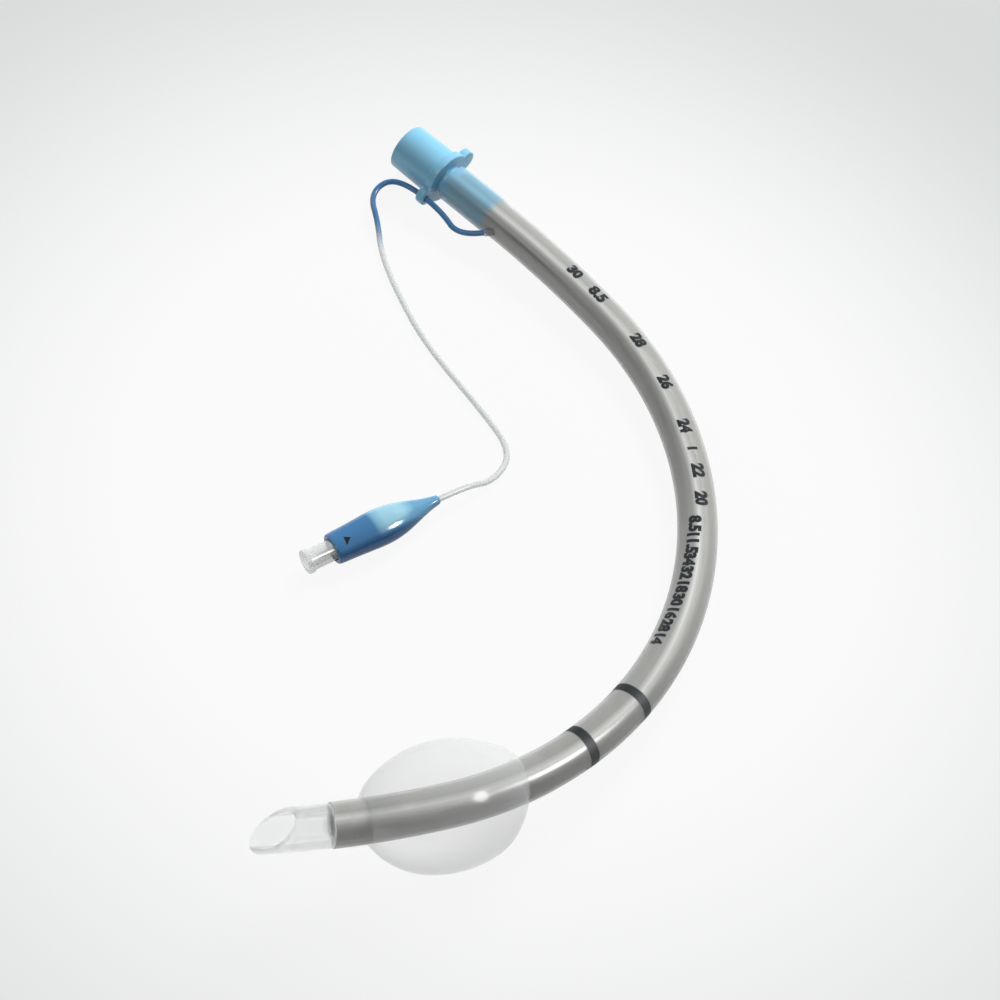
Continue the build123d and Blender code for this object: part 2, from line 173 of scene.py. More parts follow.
# %% Helpers for clear plastics
def clear_plastic(tree, colour, cover_front, cover_edge, roughness, power=2.0):
    """A skin that covers what is behind it little from the front and more from its edges."""
    facing = add_node(tree, "LayerWeight", {"Blend": 0.5})
    bent = add_node(tree, "Math", {0: (facing, "Facing"), 1: power}, operation="POWER")
    cover = add_node(tree, "MapRange", {
        "Value": (bent, 0), "To Min": cover_front, "To Max": cover_edge,
    })
    shader = add_node(tree, "BsdfPrincipled", {
        "Base Color": colour, "Roughness": roughness, "IOR": 1.53, "Alpha": (cover, 0),
    })
    return shader, cover


print("clear plastics ready")

# %% [markdown]
# ## The wall of the tube
# The wall is soft and milky. Its ink is part of the material: two black bands near the cuff, and the
# thin channel that carries air to the cuff, which shows near the connector on the inner side of the
# curve. Both follow the tube, so the material reads an attribute called straight, which holds
# where each point was before the tube was bent: distance along it, and place across it. Over the
# connector's stem the milky wall is tinged with the blue that lies right under it. A painted
# highlight runs along the whole tube: a paler, denser strip that stands in for a light streak and
# winds slowly towards the tube's outer side.

# %% Material: wall
BANDS = (213.9, 234.2)
BAND_WIDTH = 2.9
CHANNEL_ANGLE = radians(54)
CHANNEL_WIDTH = 0.8
# Painted highlight strip: its angle round the tube at both ends of its turn, and its half width.
PAINTED_STREAK_START, PAINTED_STREAK_END, PAINTED_STREAK_WIDTH = radians(22), radians(-10), radians(8)
CHANNEL_START, CHANNEL_END, CHANNEL_FADE = 24.0, 50.0, 10.0
# Distances over which the painted highlight strip turns.
PAINTED_STREAK_TURN_START, PAINTED_STREAK_TURN_END = 120.0, 215.0
TUBE_RADIUS = 5.75
STEM_END = 19.5


def between(tree, value, low, high, soft):
    """One between low and high, fading to nothing over a soft edge."""
    rise = add_node(tree, "MapRange", {
        "Value": value, "From Min": low - soft, "From Max": low + soft})
    fall = add_node(tree, "MapRange", {
        "Value": value, "From Min": high - soft, "From Max": high + soft,
        "To Min": 1.0, "To Max": 0.0})
    return add_node(tree, "Math", {0: (rise, 0), 1: (fall, 0)}, operation="MULTIPLY")


def wall_material():
    material, tree = new_material("soft_vinyl_wall")
    straight = add_node(tree, "Attribute", attribute_name="straight")
    parts = add_node(tree, "SeparateXYZ", {0: (straight, "Vector")})
    bands = [
        between(tree, (parts, 0), (distance - BAND_WIDTH / 2) * MM,
                (distance + BAND_WIDTH / 2) * MM, 0.12 * MM)
        for distance in BANDS
    ]
    ink = add_node(tree, "Math", {0: (bands[0], 0), 1: (bands[1], 0)}, operation="MAXIMUM")
    away = add_node(tree, "Math", {0: (parts, 1), 1: -1.0}, operation="MULTIPLY")
    angle = add_node(tree, "Math", {0: (away, 0), 1: (parts, 2)}, operation="ARCTAN2")
    half = CHANNEL_WIDTH / 2 / TUBE_RADIUS
    line = between(tree, (angle, 0), CHANNEL_ANGLE - half, CHANNEL_ANGLE + half, half)
    reach = between(tree, (parts, 0), CHANNEL_START * MM, CHANNEL_END * MM,
                    CHANNEL_FADE * MM)
    channel = add_node(tree, "Math", {0: (line, 0), 1: (reach, 0)}, operation="MULTIPLY")
    # Painted highlight: a paler strip along the wall, turning towards the outer side between two
    # distances.
    centre = add_node(tree, "MapRange", {
        "Value": (parts, 0), "From Min": PAINTED_STREAK_TURN_START * MM, "From Max": PAINTED_STREAK_TURN_END * MM,
        "To Min": PAINTED_STREAK_START, "To Max": PAINTED_STREAK_END})
    off = add_node(tree, "Math", {0: (angle, 0), 1: (centre, 0)}, operation="SUBTRACT")
    painted_streak = between(tree, (off, 0), -PAINTED_STREAK_WIDTH, PAINTED_STREAK_WIDTH, PAINTED_STREAK_WIDTH)
    in_bead = add_node(tree, "Math", {0: (parts, 0), 1: 0.0}, operation="LESS_THAN")
    over_stem = between(tree, (parts, 0), 0, STEM_END * MM, 1.2 * MM)
    # The painted highlight lightens the wall's own grey towards EEEFEC.
    plain = add_node(tree, "Mix", {0: (painted_streak, 0), 6: linear("CBCCC8"), 7: linear("EEEFEC")},
                     data_type="RGBA")
    plain = add_node(tree, "Mix", {0: (in_bead, 0), 6: (plain, 2), 7: linear("84898C")},
                     data_type="RGBA")
    tinged = add_node(tree, "Mix", {0: (over_stem, 0), 6: (plain, 2), 7: linear("9AD0EA")},
                      data_type="RGBA")
    colour = add_node(tree, "Mix", {0: (channel, 0), 6: (tinged, 2), 7: linear("8A8C8A")},
                      data_type="RGBA")
    inked = add_node(tree, "Mix", {0: (ink, 0), 6: (colour, 2), 7: linear("2C3033")},
                     data_type="RGBA")
    dull = add_node(tree, "MapRange", {"Value": (ink, 0), "To Min": 0.24, "To Max": 0.6})
    shader, cover = clear_plastic(tree, (inked, 2), 0.5, 0.72, (dull, 0), power=1.6)
    # The painted highlight also makes the wall cover more of what lies behind it.
    painted_streak_cover = add_node(tree, "Math", {0: (painted_streak, 0), 1: 0.3}, operation="MULTIPLY")
    denser = add_node(tree, "Math", {0: (cover, 0), 1: (painted_streak_cover, 0)}, operation="ADD")
    full = add_node(tree, "Math", {0: (denser, 0), 1: (ink, 0)}, operation="MAXIMUM")
    tree.links.new(full.outputs[0], shader.inputs["Alpha"])
    finish_material(tree, shader)
    return material


tube_wall = wall_material()
print("wall made, with bands at", BANDS, "mm")

# %% [markdown]
# ## The other clear pieces
# The tip is thick vinyl and dark at its rims. The cuff is film, and hardly shows where it is welded
# to the wall, because no air is left between them. Blue dye has run into the first part of the
# line. The balloon is nearly opaque blue film. The valve is clear polycarbonate.

# %% Materials: tip, cuff, line, balloon and valve
DYED, CLEAR = 21.0, 25.5
EAR_PLACE = (-0.0183, 0.1011, 0.006)
CLOUD, CUFF_CLOUD, TIP_CLOUD, BALLOON_CLOUD = 8.0, 12.0, 3.0, 5.0
WELDED_SHARE = 0.35


def plain_clear(name, colour, front, edge, roughness):
    """Clear plastic with a slow change of tint."""
    material, tree = new_material(name)
    place = add_node(tree, "TexCoord")
    cloud = add_node(tree, "TexNoise", {"Vector": (place, "Object"), "Scale": 1 / (CLOUD * MM)})
    tint = add_node(tree, "Mix", {0: (cloud, 0), 6: linear(colour), 7: linear(colour)},
                    data_type="RGBA")
    tint.inputs[7].default_value = [v * 0.94 for v in linear(colour)[:3]] + [1]
    shader, cover = clear_plastic(tree, (tint, 2), front, edge, roughness)
    finish_material(tree, shader)
    return material


def line_material():
    """Clear vinyl, with blue dye that has run into it near the connector."""
    material, tree = new_material("clear_vinyl_line")
    place = add_node(tree, "TexCoord")
    from_ear = add_node(tree, "VectorMath", {0: (place, "Object"), 1: EAR_PLACE},
                        operation="DISTANCE")
    blue = add_node(tree, "MapRange", {
        "Value": (from_ear, "Value"), "From Min": DYED * MM, "From Max": CLEAR * MM,
        "To Min": 1.0, "To Max": 0.0})
    colour = add_node(tree, "Mix", {0: (blue, 0), 6: linear("E4E8E9"), 7: linear("4880B4")},
                      data_type="RGBA")
    shader, cover = clear_plastic(tree, (colour, 2), 0.5, 0.8, 0.3)
    denser = add_node(tree, "Math", {0: (cover, 0), 1: (blue, 0)}, operation="MAXIMUM")
    tree.links.new(denser.outputs[0], shader.inputs["Alpha"])
    finish_material(tree, shader)
    return material


def cuff_material():
    """Thin film, which covers less where it is welded to the wall."""
    material, tree = new_material("cuff_film")
    place = add_node(tree, "TexCoord")
    straight = add_node(tree, "Attribute", attribute_name="straight")
    parts = add_node(tree, "SeparateXYZ", {0: (straight, "Vector")})
    cloud = add_node(tree, "TexNoise", {"Vector": (place, "Object"), "Scale": 1 / (CUFF_CLOUD * MM)})
    tint = add_node(tree, "Mix", {0: (cloud, 0), 6: linear("FDFEFE"), 7: linear("F4F6F6")},
                    data_type="RGBA")
    shader, cover = clear_plastic(tree, (tint, 2), 0.1, 0.26, 0.14)
    welded = add_node(tree, "MapRange", {
        "Value": (parts, 0), "From Min": 1 * MM, "From Max": 2 * MM,
        "To Min": 1.0, "To Max": WELDED_SHARE})
    thinner = add_node(tree, "Math", {0: (cover, 0), 1: (welded, 0)}, operation="MULTIPLY")
    tree.links.new(thinner.outputs[0], shader.inputs["Alpha"])
    finish_material(tree, shader)
    return material


def clear_solid(name, colour, roughness):
    """Thick clear vinyl: half of it bends the light, so that its rims look dark."""
    material, tree = new_material(name)
    place = add_node(tree, "TexCoord")
    cloud = add_node(tree, "TexNoise", {"Vector": (place, "Object"), "Scale": 1 / (TIP_CLOUD * MM)})
    rough = add_node(tree, "MapRange", {
        "Value": (cloud, 0), "To Min": roughness * 0.7, "To Max": roughness * 1.3})
    shader = add_node(tree, "BsdfPrincipled", {
        "Base Color": linear(colour), "Roughness": (rough, 0), "IOR": 1.53,
        "Transmission Weight": 1.0, "Alpha": 0.5,
    })
    finish_material(tree, shader)
    return material


def towards(tree, straight, direction, low, high):
    """A share that grows from low to high along a direction in the straight piece."""
    along = add_node(tree, "VectorMath", {0: (straight, "Vector"), 1: direction},
                     operation="DOT_PRODUCT")
    return add_node(tree, "MapRange", {
        "Value": (along, "Value"), "From Min": low * MM, "From Max": high * MM},
        interpolation_type="SMOOTHSTEP")


SLEEVE = (20.5, 22.5)
# Where the painted light lies along the balloon.
PAINTED_LIGHT_START, PAINTED_LIGHT_END, PAINTED_LIGHT_FADE = 10.5, 20.5, 2.0
ARROW_TOP, ARROW_POINT, ARROW_HALF_WIDTH, ARROW_PLACE = 14.3, 16.5, 1.15, 27.9


def balloon_material():
    """Blue film with painted light on its upper front and painted shade on its lower side, darker where
    it lies on the valve, with an arrow.
    """
    material, tree = new_material("blue_vinyl_film")
    place = add_node(tree, "TexCoord")
    straight = add_node(tree, "Attribute", attribute_name="straight")
    parts = add_node(tree, "SeparateXYZ", {0: (straight, "Vector")})
    cloud = add_node(tree, "TexNoise", {"Vector": (place, "Object"), "Scale": 1 / (BALLOON_CLOUD * MM)})
    film = add_node(tree, "Mix", {0: (cloud, 0), 6: linear("80BADD"), 7: linear("6CA8D2")},
                    data_type="RGBA")
    sleeve = towards(tree, straight, (1, 0, 0), *SLEEVE)
    film = add_node(tree, "Mix", {0: (sleeve, 0), 6: (film, 2), 7: linear("4E86B8")},
                    data_type="RGBA")
    # Painted shade: the film darkens towards 3C74AC on its lower side.
    lower = towards(tree, straight, (0, 0.95, -0.3), 1.8, 3.8)
    film = add_node(tree, "Mix", {0: (lower, 0), 6: (film, 2), 7: linear("3C74AC")},
                    data_type="RGBA")
    # Painted light: the upper front of the film is lighter, towards A9DCEE.
    painted_light_above = towards(tree, straight, (0, -0.5, 0.86), 1.2, 2.6)
    front = between(tree, (parts, 0), PAINTED_LIGHT_START * MM, PAINTED_LIGHT_END * MM, PAINTED_LIGHT_FADE * MM)
    painted_light_patch = add_node(tree, "Math", {0: (painted_light_above, 0), 1: (front, 0)}, operation="MULTIPLY")
    film = add_node(tree, "Mix", {0: (painted_light_patch, 0), 6: (film, 2), 7: linear("A9DCEE")},
                    data_type="RGBA")
    sideways = add_node(tree, "VectorMath", {0: (straight, "Vector"), 1: (-0.92, 0.55, 0)},
                        operation="DOT_PRODUCT")
    down = add_node(tree, "VectorMath", {0: (straight, "Vector"), 1: (0.46, 0.785, 0)},
                    operation="DOT_PRODUCT")
    half_width = add_node(tree, "MapRange", {
        "Value": (down, "Value"), "From Min": ARROW_TOP * MM, "From Max": ARROW_POINT * MM,
        "To Min": ARROW_HALF_WIDTH * MM, "To Max": 0.0})
    off = add_node(tree, "Math", {0: (sideways, "Value"), 1: ARROW_PLACE * MM}, operation="ADD")
    off = add_node(tree, "Math", {0: (off, 0)}, operation="ABSOLUTE")
    inside = add_node(tree, "Math", {0: (off, 0), 1: (half_width, 0)}, operation="LESS_THAN")
    span = between(tree, (down, "Value"), ARROW_TOP * MM, ARROW_POINT * MM, 0.02 * MM)
    arrow = add_node(tree, "Math", {0: (inside, 0), 1: (span, 0)}, operation="MULTIPLY")
    above = add_node(tree, "Math", {0: (parts, 2), 1: 0.0}, operation="GREATER_THAN")
    arrow = add_node(tree, "Math", {0: (arrow, 0), 1: (above, 0)}, operation="MULTIPLY")
    film = add_node(tree, "Mix", {0: (arrow, 0), 6: (film, 2), 7: linear("2A2E33")},
                    data_type="RGBA")
    shader, cover = clear_plastic(tree, (film, 2), 0.86, 0.97, 0.14)
    finish_material(tree, shader)
    return material


tip_vinyl = clear_solid("clear_vinyl_tip", "EDF0EF", 0.1)
cuff_film = cuff_material()
line_vinyl = line_material()
balloon_film = balloon_material()
valve_plastic = plain_clear("clear_polycarbonate", "F6F8F8", 0.34, 0.7, 0.2)
ink_black = moulded_plastic("printing_ink", "2E3235", 0.45, 0.3)
print("clear materials made")

# %% [markdown]
# ## The inflation line
# The line is a free cord, so it comes before the rest. Its line is smooth: a NURBS spline whose
# control points are the points of the CAD route.

# %% Lay the line
LINE_ROUTE_MM = (
    (-4.96, 88.61, 7.5), (-12.7, 88.9, 4.6), (-18.08, 96.77, 6.41), (-28.38, 105.94, 6.98),
    (-35.6, 107.5, 7.2), (-40.5, 102.5, 4.7), (-37.7, 93.7, 2.6), (-36.2, 82.7, 0.95),
    (-30.6, 67.1, 0.95), (-21.4, 48.0, 0.95), (-4.9, 25.9, 0.95), (4.6, 11.2, 0.95),
    (-0.8, 0.7, 0.95), (-9.3, -4.03, 4.5), (-17.1, -9.1, 4.5),
)
LINE_DIAMETER = 1.8


def lay_line():
    """A round NURBS curve along the route."""
    curve = bpy.data.curves.new("inflation_tube", "CURVE")
    curve.dimensions = "3D"
    spline = curve.splines.new("NURBS")
    spline.points.add(len(LINE_ROUTE_MM) - 1)
    for point, place in zip(spline.points, LINE_ROUTE_MM):
        point.co = [v * MM for v in place] + [1.0]
    spline.order_u = 3
    spline.use_endpoint_u = True
    spline.resolution_u = 16
    curve.bevel_depth = LINE_DIAMETER / 2 * MM
    curve.bevel_resolution = 6
    curve.use_fill_caps = True
    line = bpy.data.objects.new("inflation_tube", curve)
    bpy.context.scene.collection.objects.link(line)
    line.data.materials.append(line_vinyl)
    return line


line = lay_line()
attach(line, "airway")
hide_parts("inflation_line")
print("line of", len(LINE_ROUTE_MM), "control points")

# %% [markdown]
# ## The tube's plane and its bend
# The tube is curved in one flat plane, which leans a few degrees so that the flange, the bend and
# the cuff all touch the floor. Every piece of the tube is modelled straight along X, then bent by a
# Curve modifier. That is how a pipe with marks on it is easiest to make: all distances along the
# tube stay plain numbers.

# %% The centreline as a curve
TUBE_PLACE = Matrix((
    (0.745904, 0.660101, 0.088853, -16.61 * MM),
    (-0.66476, 0.746111, 0.037581, 108.43 * MM),
    (-0.041487, -0.087098, 0.995336, 8.74246 * MM),
    (0, 0, 0, 1),
))
LEAD = 22.0
BENDS = ((47.0, 315.0, 2), (205.0, 106.0, 7), (57.0, 270.0, 2))


def centreline():
    """A flat Bezier curve of tangent arcs; each bend is length, radius and number of pieces."""
    knots = [(Vector((0, 0, 0)), 0.0, 0.0, LEAD / 3), (Vector((LEAD, 0, 0)), 0.0, LEAD / 3, 0.0)]
    for length, radius, pieces in BENDS:
        step = length / pieces / radius
        reach = 4 / 3 * tan(step / 4) * radius
        for piece in range(pieces):
            place, heading, before, after = knots[-1]
            knots[-1] = (place, heading, before, reach)
            turned = heading + step
            move = Vector((sin(turned) - sin(heading), cos(turned) - cos(heading), 0)) * radius
            knots.append((place + move, turned, reach, reach))
    curve = bpy.data.curves.new("centreline", "CURVE")
    curve.dimensions, curve.twist_mode, curve.resolution_u = "3D", "Z_UP", 48
    spline = curve.splines.new("BEZIER")
    spline.bezier_points.add(len(knots) - 1)
    for point, (place, heading, before, after) in zip(spline.bezier_points, knots):
        ahead = Vector((cos(heading), -sin(heading), 0))
        point.handle_left_type = point.handle_right_type = "FREE"
        point.co = place * MM
        point.handle_left = (place - ahead * before) * MM
        point.handle_right = (place + ahead * after) * MM
    made = bpy.data.objects.new("centreline", curve)
    bpy.context.scene.collection.objects.link(made)
    made.matrix_world = TUBE_PLACE
    return made


spine = centreline()
print("centreline of", len(spine.data.splines[0].bezier_points), "points")


# %% [markdown]
# ## Helpers
# Most pieces are bodies of revolution, so one function draws them out from a list of rings. Others
# bend a piece along the centreline, round its edges, and give it its material and its body.

# %% Helpers that draw out a body, bend it and finish it
def deselect():
    """Leave edit mode with nothing selected."""
    if bpy.context.object and bpy.context.object.mode != "OBJECT":
        bpy.ops.object.mode_set(mode="OBJECT")
    bpy.ops.object.select_all(action="DESELECT")


def activate(piece):
    """Select one piece alone."""
    deselect()
    piece.select_set(True)
    bpy.context.view_layer.objects.active = piece


def drawn_out(name, rings, sides=64, closed=False):
    """Draw a body out along X: a circle is extruded and resized from ring to ring.

    A ring is distance, radius, and where needed radius upwards and shift across, in mm.
    """
    rings = [(r[0], r[1], r[2] if len(r) > 2 else r[1], r[3] if len(r) > 3 else 0) for r in rings]
    deselect()
    first = rings[0]
    bpy.ops.mesh.primitive_circle_add(vertices=sides, radius=MM, rotation=(0, pi / 2, 0))
    body = bpy.context.object
    body.name = body.data.name = name
    bpy.ops.object.transform_apply(location=False, rotation=True, scale=False)
    bpy.ops.object.mode_set(mode="EDIT")
    bpy.ops.mesh.select_all(action="SELECT")
    bpy.ops.transform.resize(value=(1, first[1], first[2]), center_override=(0, 0, 0))
    bpy.ops.transform.translate(value=(first[0] * MM, first[3] * MM, 0))
    for before, after in zip(rings, rings[1:]):
        bpy.ops.mesh.extrude_edges_move(TRANSFORM_OT_translate={"value": (
            (after[0] - before[0]) * MM, (after[3] - before[3]) * MM, 0)})
        bpy.ops.transform.resize(
            value=(1, after[1] / before[1], after[2] / before[2]),
            center_override=(after[0] * MM, after[3] * MM, 0),
        )
    if closed:
        bpy.ops.mesh.select_all(action="DESELECT")
        bpy.ops.mesh.select_non_manifold()
        bpy.ops.mesh.bridge_edge_loops()
    bpy.ops.mesh.select_all(action="SELECT")
    bpy.ops.mesh.normals_make_consistent(inside=False)
    bpy.ops.object.mode_set(mode="OBJECT")
    return body


def keep_straight(piece):
    """Remember where each point is before the bend, for materials that follow the tube."""
    straight = piece.data.attributes.new("straight", "FLOAT_VECTOR", "POINT")
    for value, vertex in zip(straight.data, piece.data.vertices):
        value.vector = vertex.co


def apply_modifier(piece, kind, **settings):
    """Add a modifier and apply it."""
    activate(piece)
    modifier = piece.modifiers.new(kind.lower(), kind)
    for name, value in settings.items():
        setattr(modifier, name, value)
    bpy.ops.object.modifier_apply(modifier=modifier.name)


def put(piece, place):
    """Move a piece by a matrix and leave the place in its mesh."""
    activate(piece)
    piece.matrix_world = place
    bpy.ops.object.transform_apply(location=True, rotation=True, scale=True)


def bend(piece):
    """Bend a straight piece along the centreline."""
    keep_straight(piece)
    piece.matrix_world = TUBE_PLACE
    apply_modifier(piece, "CURVE", object=spine, deform_axis="POS_X")
    put(piece, TUBE_PLACE)


def soften(piece, width_mm, segments=3, angle=35):
    """Round the sharp edges."""
    apply_modifier(piece, "BEVEL", width=width_mm * MM, segments=segments, limit_method="ANGLE",
                   angle_limit=radians(angle))


def dress(piece, material, slot, *nodes, smooth=40):
    """Give a finished piece its material and body, and hide the CAD nodes it stands for. The slot is
    not used.
    """
    activate(piece)
    bpy.ops.object.shade_smooth_by_angle(angle=radians(smooth))
    piece.data.materials.clear()
    piece.data.materials.append(material)
    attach(piece, "airway")
    if nodes:
        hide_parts(*nodes)
    print(piece.name, "has", len(piece.data.polygons), "faces")


def stops(start, end, step):
    """Distances from start to end in even steps."""
    count = max(1, round((end - start) / step))
    return [start + (end - start) * i / count for i in range(count + 1)]


# %% [markdown]
# ## The wall
# The wall is stretched over the connector's stem, so it stands out a little there and eases back to
# its own size past the stem's end. The outer skin is drawn out first, then the inner skin back to
# the start, and the two ends are bridged, which leaves one closed shell.

# %% Model the wall
BORE_RADIUS = 4.25
TUBE_START, STEM_LENGTH, STEM_EASE, TUBE_END = 2.0, 19.0, 2.0, 304.5
STEM_RADIUS, STRETCHED_RADIUS = 4.75, 6.128


def eased(distance, over_stem, past_stem):
    """A radius that falls smoothly from its size over the stem to its size past it."""
    share = min(max((distance - STEM_LENGTH + 0.6) / (STEM_EASE + 1.2), 0.0), 1.0)
    return over_stem + (past_stem - over_stem) * share * share * (3 - 2 * share)


along = stops(TUBE_START, 24, 0.8) + stops(24, TUBE_END, 2.0)[1:]
wall = drawn_out(
    "tube_wall",
    [(s, eased(s, STRETCHED_RADIUS, TUBE_RADIUS)) for s in along]
    + [(s, eased(s, STEM_RADIUS + 0.01, BORE_RADIUS)) for s in reversed(along)],
    closed=True,
)
bend(wall)

# %% [markdown]
# ## The bead
# A bead of grey glue holds the line where it leaves the wall. It points along the line's first run.

# %% Add the bead where the line leaves the wall
BEAD_RINGS = ((-3.4, 1.2), (-2.0, 1.3), (-0.8, 1.25), (0.0, 1.0))
line_start, line_next = (Vector(place) for place in LINE_ROUTE_MM[:2])
line_way = (line_next - line_start).normalized()
line_turn = line_way.to_track_quat("X", "Z").to_matrix().to_4x4()
bead = drawn_out("exit_bead", BEAD_RINGS, sides=24)
activate(bead)
bpy.ops.object.mode_set(mode="EDIT")
bpy.ops.mesh.select_all(action="SELECT")
bpy.ops.mesh.fill_holes(sides=0)
bpy.ops.mesh.normals_make_consistent(inside=False)
bpy.ops.object.mode_set(mode="OBJECT")
keep_straight(bead)
put(bead, Matrix.Translation(line_start * MM) @ line_turn)
activate(wall)
bead.select_set(True)
bpy.ops.object.join()
dress(wall, tube_wall, "tube_wall", "tube")

# %% [markdown]
# ## The wire
# The wire's close turns keep the tube from kinking. One small circle is turned into a helix by a
# Screw modifier. Its turns are 0.8 mm apart, and it is wider over the stem.

# %% Wind the wire
WIRE_DIAMETER, WIRE_PITCH = 0.46, 0.8
WIRE_START, WIRE_END = 3.9, 303.9
WIRE_RADIUS, WIRE_STRETCH = 5.0, 0.43


def wind(name, start, end, radius, thickness, pitch, steps, sides):
    """Wind a wire round X, with a number of steps to a turn and sides to the wire."""
    deselect()
    bpy.ops.mesh.primitive_circle_add(
        vertices=sides, radius=thickness / 2 * MM, location=(start * MM, 0, radius * MM),
        rotation=(pi / 2, 0, 0))
    coil = bpy.context.object
    coil.name = coil.data.name = name
    bpy.ops.object.transform_apply(location=True, rotation=True, scale=False)
    apply_modifier(coil, "SCREW", axis="X", angle=2 * pi, screw_offset=pitch * MM,
                   iterations=int((end - start) / pitch), steps=steps, render_steps=steps,
                   use_merge_vertices=True, merge_threshold=0.001 * MM)
    bpy.ops.object.mode_set(mode="EDIT")
    bpy.ops.mesh.select_all(action="DESELECT")
    bpy.ops.mesh.select_non_manifold()
    bpy.ops.mesh.edge_face_add()
    bpy.ops.mesh.select_all(action="SELECT")
    bpy.ops.mesh.normals_make_consistent(inside=False)
    bpy.ops.object.mode_set(mode="OBJECT")
    return coil


coil = wind("wire_coil", WIRE_START, WIRE_END, WIRE_RADIUS, WIRE_DIAMETER, WIRE_PITCH, 22, 6)
for vertex in coil.data.vertices:
    spread = eased(vertex.co.x / MM, WIRE_STRETCH, 0.0) * MM
    across = Vector((0, vertex.co.y, vertex.co.z))
    vertex.co += across.normalized() * spread
bend(coil)
dress(coil, wire_steel, "wire_steel", "reinforcing_coil", smooth=80)

# %% [markdown]
# ## The connector
# Cone, flange, ears and stem are moulded in one. The turned part is drawn out as one closed shell.
# The ears are a second body: a circle whose halves are pulled apart into a stadium, extruded to the
# flange's thickness. Booleans join the two and drill the ear through which the line passes.

# %% Model the connector
FLANGE_THICKNESS, FLANGE_RADIUS = 2.7, 8.75
EAR_SPAN, EAR_WIDTH, EAR_TURN = 24.2, 7.0, 17.0
EAR_HOLE_RADIUS, EAR_HOLE = 9.9, 1.2
CONE_LENGTH, CONE_LAND, CONE_BASE, CONE_MOUTH = 15.0, 3.0, 7.725, 7.575
CONE_BORE, STEM_BORE, BORE_EASE = 6.2, 3.95, 3.0
FILLET, CORE_RADIUS = 0.35, 7.0

connector = drawn_out(
    "connector_moulding",
    [
        (STEM_LENGTH, STEM_BORE), (STEM_LENGTH, STEM_RADIUS), (0, STEM_RADIUS),
        (0, FLANGE_RADIUS), (-FLANGE_THICKNESS, FLANGE_RADIUS), (-FLANGE_THICKNESS, CONE_BASE),
        (-FLANGE_THICKNESS - CONE_LAND, CONE_BASE),
        (-FLANGE_THICKNESS - CONE_LENGTH, CONE_MOUTH), (-FLANGE_THICKNESS - CONE_LENGTH, CONE_BORE),
        (-FLANGE_THICKNESS - BORE_EASE, CONE_BORE), (-FLANGE_THICKNESS, STEM_BORE),
    ],
    sides=96,
    closed=True,
)
soften(connector, FILLET)


def stadium(name, span, width, thickness):
    """A flat bar with round ends, standing across X."""
    deselect()
    bpy.ops.mesh.primitive_circle_add(vertices=64, radius=width / 2 * MM, fill_type="NGON",
                                      rotation=(0, pi / 2, 0))
    bar = bpy.context.object
    bar.name = name
    bpy.ops.object.transform_apply(location=False, rotation=True, scale=False)
    reach = (span - width) / 2 * MM
    for vertex in bar.data.vertices:
        vertex.co.y += reach if vertex.co.y > 0 else -reach
    bpy.ops.object.mode_set(mode="EDIT")
    bpy.ops.mesh.select_all(action="SELECT")
    bpy.ops.mesh.extrude_region_move(
        TRANSFORM_OT_translate={"value": (-thickness * MM, 0, 0)})
    bpy.ops.mesh.select_all(action="SELECT")
    bpy.ops.mesh.normals_make_consistent(inside=False)
    bpy.ops.object.mode_set(mode="OBJECT")
    return bar


def combine(piece, other, operation):
    """Join, cut or keep what both share, then remove the other piece."""
    apply_modifier(piece, "BOOLEAN", object=other, operation=operation, solver="EXACT")
    bpy.data.objects.remove(other)


ears = stadium("ears", EAR_SPAN, EAR_WIDTH, FLANGE_THICKNESS)
soften(ears, FILLET)
deselect()
bpy.ops.mesh.primitive_cylinder_add(
    vertices=96, radius=CORE_RADIUS * MM, depth=10 * MM, rotation=(0, pi / 2, 0),
    location=(-FLANGE_THICKNESS / 2 * MM, 0, 0))
core = bpy.context.object
bpy.ops.object.transform_apply(location=True, rotation=True, scale=False)
combine(ears, core, "DIFFERENCE")
put(ears, Matrix.Rotation(radians(EAR_TURN), 4, "X"))
combine(connector, ears, "UNION")
deselect()
bpy.ops.mesh.primitive_cylinder_add(
    vertices=40, radius=EAR_HOLE * MM, depth=8 * MM, rotation=(0, pi / 2, 0),
    location=(-FLANGE_THICKNESS / 2 * MM, -EAR_HOLE_RADIUS * MM, 0))
drill = bpy.context.object
bpy.ops.object.transform_apply(location=True, rotation=True, scale=False)
put(drill, Matrix.Rotation(radians(EAR_TURN), 4, "X"))
combine(connector, drill, "DIFFERENCE")
put(connector, TUBE_PLACE)
dress(connector, connector_plastic, "connector_plastic", "connector", smooth=35)

# %% [markdown]
# ## The clear tip
# Past the wire the tube is plain clear vinyl, a little thinner. It is bent like the rest, then a
# bisect cuts it off on the bevel, and the two cut edges are bridged and rounded into a soft rim.

# %% Model the tip
TIP_RADIUS, TIP_LENGTH = 5.5, 14.0
BEVEL_ANGLE, BEVEL_TURN = radians(43.5), radians(75)


def station(distance):
    """Place and heading of the centreline in the tube's plane."""
    place, heading, left = Vector((min(distance, LEAD), 0, 0)), 0.0, distance - LEAD
    for length, radius, pieces in BENDS:
        turned = heading + min(max(left, 0.0), length) / radius
        place += Vector((sin(turned) - sin(heading), cos(turned) - cos(heading), 0)) * radius
        heading, left = turned, left - length
    return place, heading


def section_at(distance):
    """Row-frame centre and axes of a cross-section: ahead, towards the inside, and up."""
    place, heading = station(distance)
    turn = TUBE_PLACE.to_3x3()
    ahead = turn @ Vector((cos(heading), -sin(heading), 0))
    inside = turn @ Vector((-sin(heading), -cos(heading), 0))
    return TUBE_PLACE @ (place * MM), ahead, inside, turn @ Vector((0, 0, 1))


